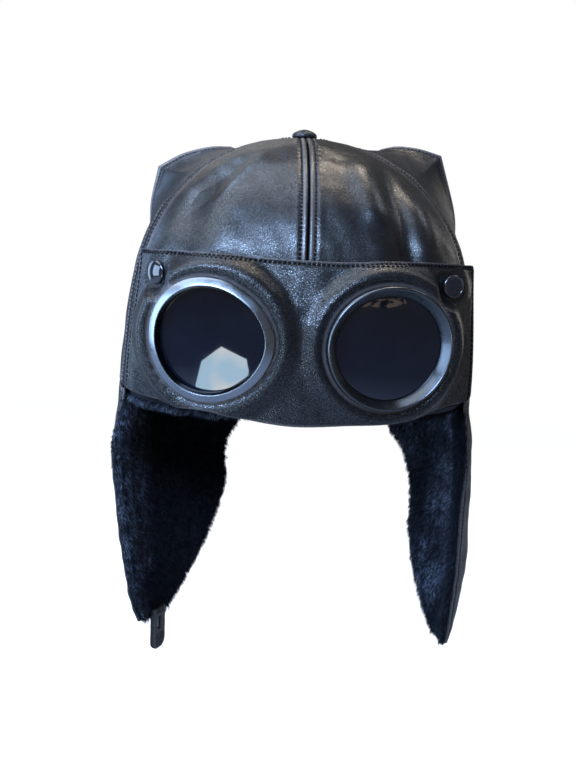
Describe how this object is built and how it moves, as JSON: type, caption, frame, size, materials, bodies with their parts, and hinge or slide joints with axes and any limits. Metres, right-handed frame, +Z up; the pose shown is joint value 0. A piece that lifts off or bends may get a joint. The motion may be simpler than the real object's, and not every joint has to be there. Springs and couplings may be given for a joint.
{
  "type": "aviator hat",
  "caption": "Black leather aviator hat with squared crown corners, a goggle panel over the brow and long fur-lined ear flaps.",
  "frame": {"origin": "the inside top of the crown, where the top of a head sits", "axes": "+Z up, the goggles face -Y, the wearer's left ear flap is on +X as seen from the front"},
  "size_m": [0.2341, 0.2368, 0.3517],
  "materials": {
    "grained_leather": "grained, semi-gloss",
    "smooth_leather": "smooth, satin",
    "plush_fur": "short dense plush",
    "button_leather": "satin",
    "ring_gunmetal": "glossy gunmetal",
    "lens_dark": "polished, dark tint",
    "snap_black": "glossy"
  },
  "bodies": {
    "root": {"crown_front_left": "grained_leather", "crown_front_right": "grained_leather", "goggle_panel": "grained_leather", "strap_tab": "grained_leather", "crown_side_left": "smooth_leather", "crown_side_right": "smooth_leather", "crown_back_left": "smooth_leather", "crown_back_right": "smooth_leather", "ear_flap_left": "smooth_leather", "ear_flap_right": "smooth_leather", "flap_fur_left": "plush_fur", "flap_fur_right": "plush_fur", "rim_fur": "plush_fur", "top_button": "button_leather", "goggle_ring_left": "ring_gunmetal", "goggle_ring_right": "ring_gunmetal", "goggle_lens_left": "lens_dark", "goggle_lens_right": "lens_dark", "snap_left": "snap_black", "snap_right": "snap_black"}
  },
  "joints": []
}
